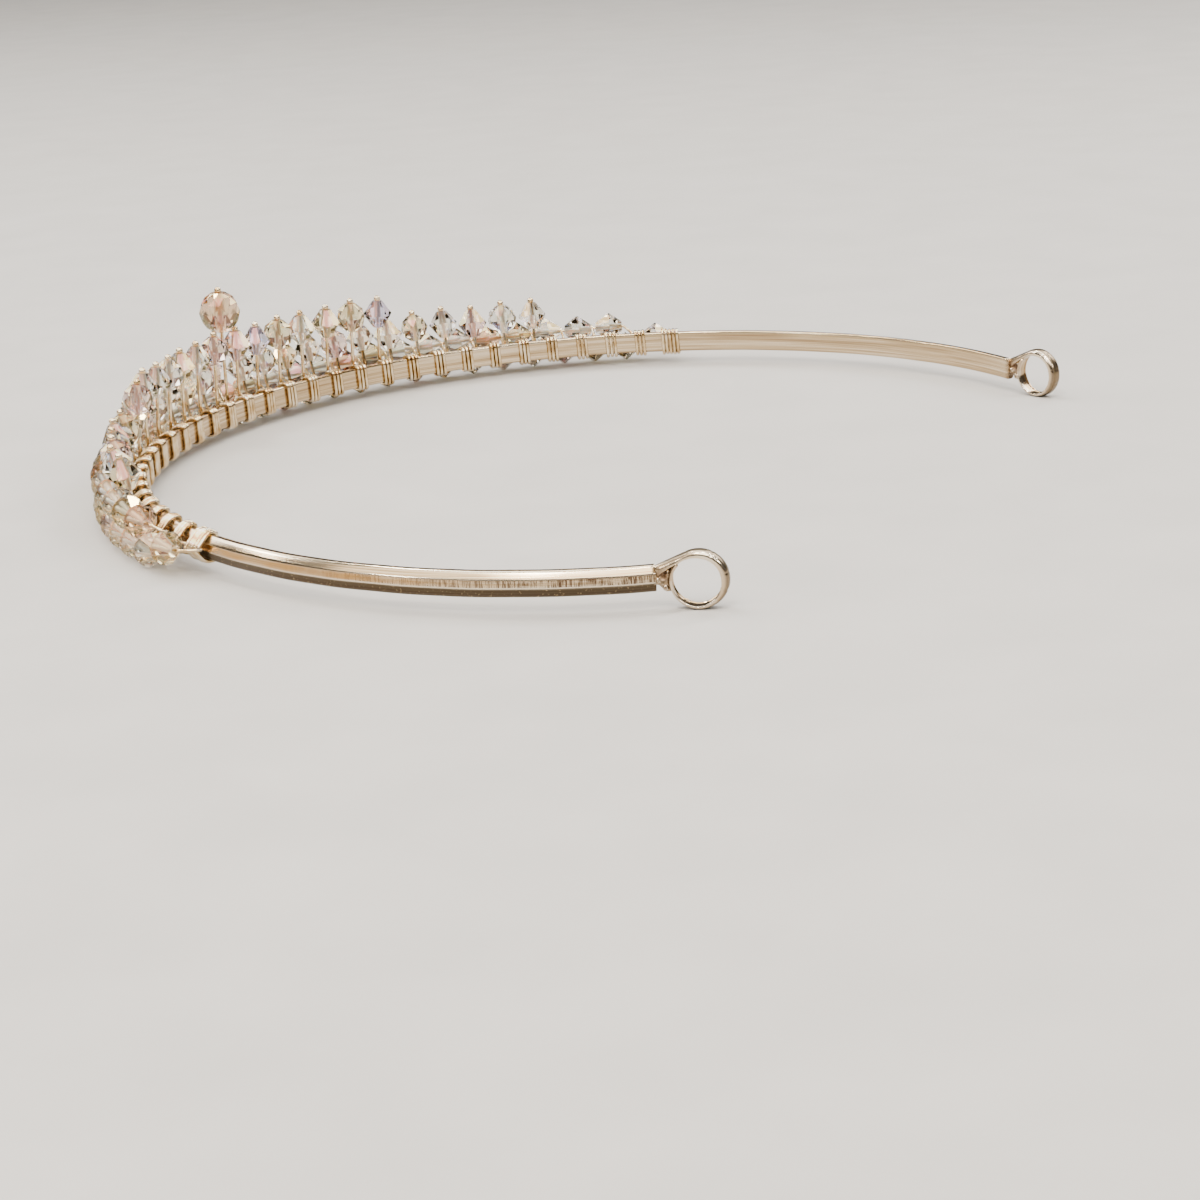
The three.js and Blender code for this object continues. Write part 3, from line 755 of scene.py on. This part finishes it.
def plated_soft_wire():
    """Silver-champagne plate on soft copper wire, drawn bright. Fingers and pliers leave it faintly
    dulled in spots, and the plate warms where it is thin."""
    material, tree, shader = new_material("plated_soft_wire")
    here = add_node(tree, "ShaderNodeTexCoord").outputs["Object"]
    # Object coordinates are in metres: spots about 1.5 mm across, and nicks about 0.4 mm.
    spots = add_node(tree, "ShaderNodeTexNoise", {"Vector": here, "Scale": 650, "Detail": 3}).outputs[0]
    nicks = add_node(tree, "ShaderNodeTexNoise", {"Vector": here, "Scale": 2500, "Detail": 2}).outputs[0]
    wire_colours = [(0.35, "#BC9C6C"), (0.5, "#DAC39C"), (0.7, "#ECDEC4")]
    colour = add_node(tree, "ShaderNodeValToRGB", {0: spots}, wire_colours).outputs[0]
    dull = add_node(tree, "ShaderNodeMapRange", {0: spots, 3: 0.1, 4: 0.32}).outputs[0]
    relief = add_node(tree, "ShaderNodeBump", {"Height": nicks, "Strength": 0.2, "Distance": 0.03 * MM})
    for socket, output in (("Base Color", colour), ("Roughness", dull), ("Normal", relief.outputs[0])):
        tree.links.new(output, shader.inputs[socket])
    shader.inputs["Metallic"].default_value = 1
    return material


wire_metal = plated_soft_wire()
binding = make_mesh("wound_binding_wire", wire_shells, wire_metal)
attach(binding, "root")
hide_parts("binding_wire")


# ---------------------------------------------------------------- bead rows
# Bicone beads cut from lead glass, strung end to end on a wire with their holes along the band. The lower
# row carries the tiara's front on the table. Most are clear with a faint rainbow coat, and a few are
# tinted.

BEAD_END = 0.36  # radius of the flat end over the bead's
ROW_SIZE_SCATTER = 0.015
TINTS = {
    "clear": "#FBF3E6",
    "champagne": "#F2E1BF",
    "blush": "#F2D8D0",
    "lavender": "#E2D8E8",
    "peach": "#F3D0B0",
}


def bicone_cut(sides=8):
    """A bead of radius 1 and half length 1 round Z, whose upper and lower facets are staggered by half a
    facet. The girdle's corners lie at radius 1, above and below it in turn by (1 - c) over (1 + c - 2c
    times the end's radius), where c is the cosine of half a facet's angle, so that each facet is a flat
    pentagon."""
    cosine = math.cos(math.pi / sides)
    zigzag = (1 - cosine) / (1 + cosine - 2 * cosine * BEAD_END)
    spot = np.arange(2 * sides)
    angle = spot * math.pi / sides
    ring = np.stack([np.cos(angle), np.sin(angle), np.zeros_like(angle)], -1)
    girdle = ring + np.where(spot % 2, zigzag, -zigzag)[:, None] * UP
    above, below = ring[1::2], ring[::2]
    bore = BORE_RADIUS / BEAD_RADIUS
    points = [girdle, above * BEAD_END + UP, below * BEAD_END - UP, above * bore + UP, below * bore - UP]
    upper, lower, upper_bore, lower_bore = 2 * sides + sides * np.arange(4)[:, None] + np.arange(sides)
    facet = np.arange(sides)
    after, before = np.roll(facet, -1), np.roll(facet, 1)
    even, odd, next_even, last_odd = 2 * facet, 2 * facet + 1, 2 * after, 2 * before + 1
    faces = [
        np.stack([last_odd, even, odd, upper, upper[before]], -1),
        np.stack([lower, lower[after], next_even, odd, even], -1),
        np.stack([upper, upper[after], upper_bore[after], upper_bore], -1),
        np.stack([lower[after], lower, lower_bore, lower_bore[after]], -1),
        np.stack([upper_bore, upper_bore[after], lower_bore[after], lower_bore], -1),
    ]
    return np.concatenate(points), sum((part.tolist() for part in faces), [])


def cut_beads(cut, centres, axes, radii, spins):
    """Copies of a cut bead: each point is the bead's centre, plus its x and y times the radius along two
    directions square to the axis and turned by the spin, plus its z times the half length along the
    axis."""
    points, faces = cut
    aside = unit(np.cross(axes, UP + 0.01))  # a direction that no bead's axis follows
    square = np.cross(axes, aside)
    cosine, sine = np.cos(spins)[:, None], np.sin(spins)[:, None]
    across = (cosine * aside + sine * square)[:, None]
    around = (cosine * square - sine * aside)[:, None]
    wide = radii[:, None, None]
    placed = centres[:, None] + wide * (points[:, :1] * across + points[:, 1:2] * around)
    placed = placed + wide * BEAD_SLENDERNESS * points[:, 2:] * axes[:, None]
    return [(bead, faces) for bead in placed]


def ground_hole(cut):
    """1 at the points of a cut bead round its hole, where the drill ground the glass, and 0 elsewhere."""
    from_axis = np.linalg.norm(cut[0][:, :2], axis=1)
    return (from_axis < 0.5 * BEAD_END).astype(float)


def lead_crystal(name, tint):
    """Lead glass, machine cut and polished, with a metal-oxide rainbow coat. It gives crisp glints from
    flat facets, bright refraction, a pale rainbow at the edges, and a frosted core where the hole was
    drilled. A tint of None reads each bead's own colour."""
    material, tree, shader = new_material(name)
    here = add_node(tree, "ShaderNodeTexCoord").outputs["Object"]
    ground = add_node(tree, "ShaderNodeAttribute", attribute_name="ground").outputs["Fac"]
    # The coat varies over about 2.5 mm, and wipe marks 0.3 mm apart keep a facet from mirroring perfectly.
    coat = add_node(tree, "ShaderNodeTexNoise", {"Vector": here, "Scale": 400, "Detail": 1}).outputs[0]
    wiped = add_node(tree, "ShaderNodeTexNoise", {"Vector": here, "Scale": 3000, "Detail": 2}).outputs[0]
    coat_colours = [(0.3, "#FBEBCD"), (0.45, "#FFFFFF"), (0.55, "#FFFFFF"), (0.7, "#F3E1EA")]
    rainbow = add_node(tree, "ShaderNodeValToRGB", {0: coat}, coat_colours).outputs[0]
    if tint:
        glass = srgb(tint)
    else:
        glass = add_node(tree, "ShaderNodeAttribute", attribute_name="tint").outputs["Color"]
    coated = {"Factor": 0.6, 6: glass, 7: rainbow}
    coloured = add_node(tree, "ShaderNodeMix", coated, data_type="RGBA", blend_type="MULTIPLY").outputs[2]
    haze = add_node(tree, "ShaderNodeMapRange", {0: wiped, 3: 0.0, 4: 0.04}).outputs[0]
    frosted = {0: ground, 1: 0.55, 2: haze}
    rough = add_node(tree, "ShaderNodeMath", frosted, operation="MULTIPLY_ADD").outputs[0]
    tree.links.new(coloured, shader.inputs["Base Color"])
    tree.links.new(rough, shader.inputs["Roughness"])
    shader.inputs["Transmission Weight"].default_value = 1.0
    shader.inputs["IOR"].default_value = 1.56
    shader.inputs["Thin Film Thickness"].default_value = 262.0  # nanometres
    shader.inputs["Thin Film IOR"].default_value = 1.9
    return material


ROW_TINTS = [
    "clear", "clear", "champagne", "clear", "blush", "clear", "clear", "champagne", "clear", "peach",
]
THREAD_RADIUS = 0.2
# The thread past a row's last bead, as (further along, out, share of that bead's height).
THREAD_END = np.array([(2.3, ROW_OUT - 0.3, 1.0), (3.3, 2.7, 0.6), (4.0, CARRIER_OUT, 0.1)])
bicone = bicone_cut()
row_glass = lead_crystal("cut_lead_crystal", None)

for row_name, row in ROWS.items():
    for side_name, side in (("left", 1), ("right", -1)):
        node = f"{row_name}_{side_name}"
        # A bead that stands at the middle belongs to the left half.
        first = 2 if row["first"] == 0 and side < 0 else row["first"]
        steps = side * np.arange(first, row["last"] + 1, 2)
        centres = place(steps * HALF_PITCH, ROW_OUT, row_up(row, steps))
        tangents = station(steps * HALF_PITCH)[1]
        radii = BEAD_RADIUS * (1 + ROW_SIZE_SCATTER * wander(steps, 7))
        shells = cut_beads(bicone, centres, tangents, radii, spins=wander(steps, 8) * np.pi)
        colours = [srgb(TINTS[ROW_TINTS[int(step) % len(ROW_TINTS)]])[:3] for step in steps]
        tint = np.repeat(np.array(colours), len(bicone[0]), axis=0)
        ground = np.tile(ground_hole(bicone), len(steps))
        row_beads = make_mesh(f"{node}_beads", shells, row_glass, smooth=False, tint=tint, ground=ground)
        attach(row_beads, "root")
        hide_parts(node)

        # The thread runs through every bead, and its end turns in to the band past the last one.
        further, end_out, end_share = THREAD_END.T
        thread_along = np.concatenate([steps * HALF_PITCH, steps[-1] * HALF_PITCH + side * further])
        thread_out = np.concatenate([np.full(len(steps), ROW_OUT), end_out])
        thread_up = np.concatenate([row_up(row, steps), row_up(row, steps[-1]) * end_share])
        fine = np.linspace(0, len(thread_along) - 1, 8 * len(thread_along))
        spots = np.arange(len(thread_along))
        knots = (thread_along, thread_out, thread_up)
        path = place(*(np.interp(fine, spots, values) for values in knots))
        thread = make_mesh(f"{node}_thread", [swept(tube(path, THREAD_RADIUS, UP))], wire_metal)
        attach(thread, "root")
        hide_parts(node)


# ---------------------------------------------------------------- pinned crystals
# Single beads on ball-headed pins, two in three cut as bicones and one as a faceted round. They stand
# over the rows in two tiers, champagne, blush and lavender among the clear, and a larger peach one marks
# the peak.

TIER_TINTS = {
    "front": ["clear", "clear", "blush", "clear", "champagne"],
    "crest": [
        "lavender", "champagne", "champagne", "clear", "champagne", "lavender", "blush",
        "blush", "clear", "champagne", "clear", "clear", "clear", "blush",
    ],
    "peak": ["peach"],
}


def round_cut(rings, sides=8):
    """A bead of radius 1 and half length 1 round Z from rings given as (radius, height), each turned half
    a facet from the last, with a triangle up and a triangle down between each pair of neighbours."""
    rings = np.array(rings)
    spot = np.arange(sides)
    angle = (2 * spot + np.arange(len(rings))[:, None] % 2) * math.pi / sides
    radius, height = rings[:, :1], rings[:, 1:]
    grid = np.stack([radius * np.cos(angle), radius * np.sin(angle), height + 0 * angle], -1)
    bore = BORE_RADIUS / BEAD_RADIUS / BEAD_END
    top_hole, bottom_hole = (grid[end] * [bore, bore, 1] for end in (0, -1))
    points = np.concatenate([grid.reshape(-1, 3), bottom_hole, top_hole])
    number = np.arange(len(points)).reshape(-1, sides)
    following = np.roll(number, -1, axis=1)
    faces = []
    for ring in range(len(rings) - 1):
        above, above_next = number[ring], following[ring]
        below, below_next = number[ring + 1], following[ring + 1]
        tip_down, tip_up = (below_next, above) if ring % 2 else (below, above_next)
        faces += np.stack([above, tip_down, above_next], -1).tolist()
        faces += np.stack([below, below_next, tip_up], -1).tolist()
    hole_below, hole_above = number[-2], number[-1]
    bottom = number[-3]
    faces += np.stack([number[0], following[0], following[-1], hole_above], -1).tolist()
    faces += np.stack([following[-3], bottom, hole_below, following[-2]], -1).tolist()
    faces += np.stack([hole_above, following[-1], following[-2], hole_below], -1).tolist()
    return points, faces


ROUND_RINGS = [(BEAD_END, 1), (0.84, 0.6), (1, 0), (0.84, -0.6), (BEAD_END, -1)]
PEAK_RINGS = [
    (BEAD_END, 1), (0.68, 0.8), (0.9, 0.46), (1, 0), (0.9, -0.46), (0.68, -0.8), (BEAD_END, -1),
]
cuts = {"bicone": bicone, "round": round_cut(ROUND_RINGS), "peak": round_cut(PEAK_RINGS, sides=10)}
glasses = {tint: lead_crystal(f"cut_lead_crystal_{tint}", colour) for tint, colour in TINTS.items()}

for bead in beads:
    tier = bead["name"].split("_")[0]
    tints = TIER_TINTS[tier]
    tint = tints[bead["index"] % len(tints)]
    usual_cut = "round" if bead["index"] % 3 == 1 else "bicone"
    cut = cuts["peak" if tier == "peak" else usual_cut]
    _, middle, lean = lean_of(bead)
    spin = np.array([wander(bead["step"], 9) * np.pi])
    shells = cut_beads(cut, middle[None], lean[None], np.array([bead["radius"]]), spin)
    ground = ground_hole(cut)
    crystal = make_mesh(f"{bead['name']}_cut", shells, glasses[tint], smooth=False, ground=ground)
    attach(crystal, "root")
    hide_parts(bead["name"])


# ---------------------------------------------------------------- studio
# A plain pale floor, a broad soft light on the viewer's side, softer ones over and behind, and small lamps
# that the facets catch. Lengths here are in metres.

FLOOR_HALF = 3.0
floor_mesh = bpy.data.meshes.new("floor")
floor_corners = [(x * FLOOR_HALF, y * FLOOR_HALF, 0) for x, y in ((-1, -1), (1, -1), (1, 1), (-1, 1))]
floor_mesh.from_pydata(floor_corners, [], [(0, 1, 2, 3)])
floor = bpy.data.objects.new("floor", floor_mesh)
bpy.context.scene.collection.objects.link(floor)


def matt_paper():
    """Matt pale paper, with faint mottling about 17 mm across."""
    material, tree, shader = new_material("matt_paper")
    here = add_node(tree, "ShaderNodeTexCoord").outputs["Object"]
    mottling = add_node(tree, "ShaderNodeTexNoise", {"Vector": here, "Scale": 60, "Detail": 4}).outputs[0]
    paper_colours = [(0.3, "#B0ABA4"), (0.7, "#B6B1AA")]
    colour = add_node(tree, "ShaderNodeValToRGB", {0: mottling}, paper_colours).outputs[0]
    tree.links.new(colour, shader.inputs["Base Color"])
    shader.inputs["Roughness"].default_value = 0.85
    return material


floor_mesh.materials.append(matt_paper())

TIARA_MIDDLE = np.array([0.0, 0.0, 0.008])


def facing(azimuth, elevation):
    """The direction towards a viewer at an azimuth round from the front and an elevation, both in degrees:
    the sine and less the cosine of the azimuth, times the cosine of the elevation, and its sine up."""
    round_by, up_by = math.radians(azimuth), math.radians(elevation)
    level = math.cos(up_by)
    return np.array([math.sin(round_by) * level, -math.cos(round_by) * level, math.sin(up_by)])


def lamp(name, azimuth, elevation, distance, size, watts, colour="#FFFFFF"):
    """A square lamp at a distance from the tiara's middle, looking at it. Its right is UP crossed with the
    direction back to it, and its own up is that direction crossed with its right."""
    light = bpy.data.lights.new(name, "AREA")
    light.size = size
    light.energy = watts
    light.color = srgb(colour)[:3]
    holder = bpy.data.objects.new(name, light)
    back = facing(azimuth, elevation)
    right = unit(np.cross(UP, back))
    turned = Matrix(np.stack([right, np.cross(back, right), back], -1)).to_4x4()
    holder.matrix_world = Matrix.Translation(TIARA_MIDDLE + distance * back) @ turned
    bpy.context.scene.collection.objects.link(holder)


lamp("key", 122, 52, 0.8, 0.6, 7.5, "#FFF8EE")
lamp("side_key", 66, 50, 0.9, 0.6, 3.5, "#FFF6EA")
lamp("overhead", -60, 70, 2.6, 1.9, 52)
lamp("rim_right", -112, 34, 0.9, 0.45, 5)
lamp("rim_left", -8, 34, 0.9, 0.45, 5)
# Small lamps all round, as (azimuth, elevation).
SPARKLES = [(70, 24), (100, 58), (165, 30), (-100, 45), (-20, 60), (200, 55), (20, 35), (140, 74)]
for number, (azimuth, elevation) in enumerate(SPARKLES):
    lamp(f"sparkle_{number + 1}", azimuth, elevation, 0.7, 0.075, 1.2)

world = bpy.data.worlds.new("studio")
world.use_nodes = True
world.node_tree.nodes["Background"].inputs["Color"].default_value = srgb("#EDE8E0")
world.node_tree.nodes["Background"].inputs["Strength"].default_value = 0.13
bpy.context.scene.world = world

# The camera looks along the wearer's left side from behind, a little above the floor.
CAMERA_AZIMUTH = 119.35
CAMERA_ELEVATION = 16.79
CAMERA_ROLL = math.radians(-3.04)
CAMERA_AIM = np.array([0.00184, 0.00994, -0.01904])
CAMERA_DISTANCE = 0.386
camera_data = bpy.data.cameras.new("camera")
camera_data.lens = 83.25
camera_data.sensor_width = 36
camera_data.clip_start = 0.01
camera = bpy.data.objects.new("camera", camera_data)
back = facing(CAMERA_AZIMUTH, CAMERA_ELEVATION)
level = unit(np.cross(UP, back))
upright = np.cross(back, level)
right = level * math.cos(CAMERA_ROLL) + upright * math.sin(CAMERA_ROLL)
camera_up = np.cross(back, right)
turned = Matrix(np.stack([right, camera_up, back], -1)).to_4x4()
camera.matrix_world = Matrix.Translation(CAMERA_AIM + CAMERA_DISTANCE * back) @ turned
bpy.context.scene.collection.objects.link(camera)
bpy.context.scene.camera = camera
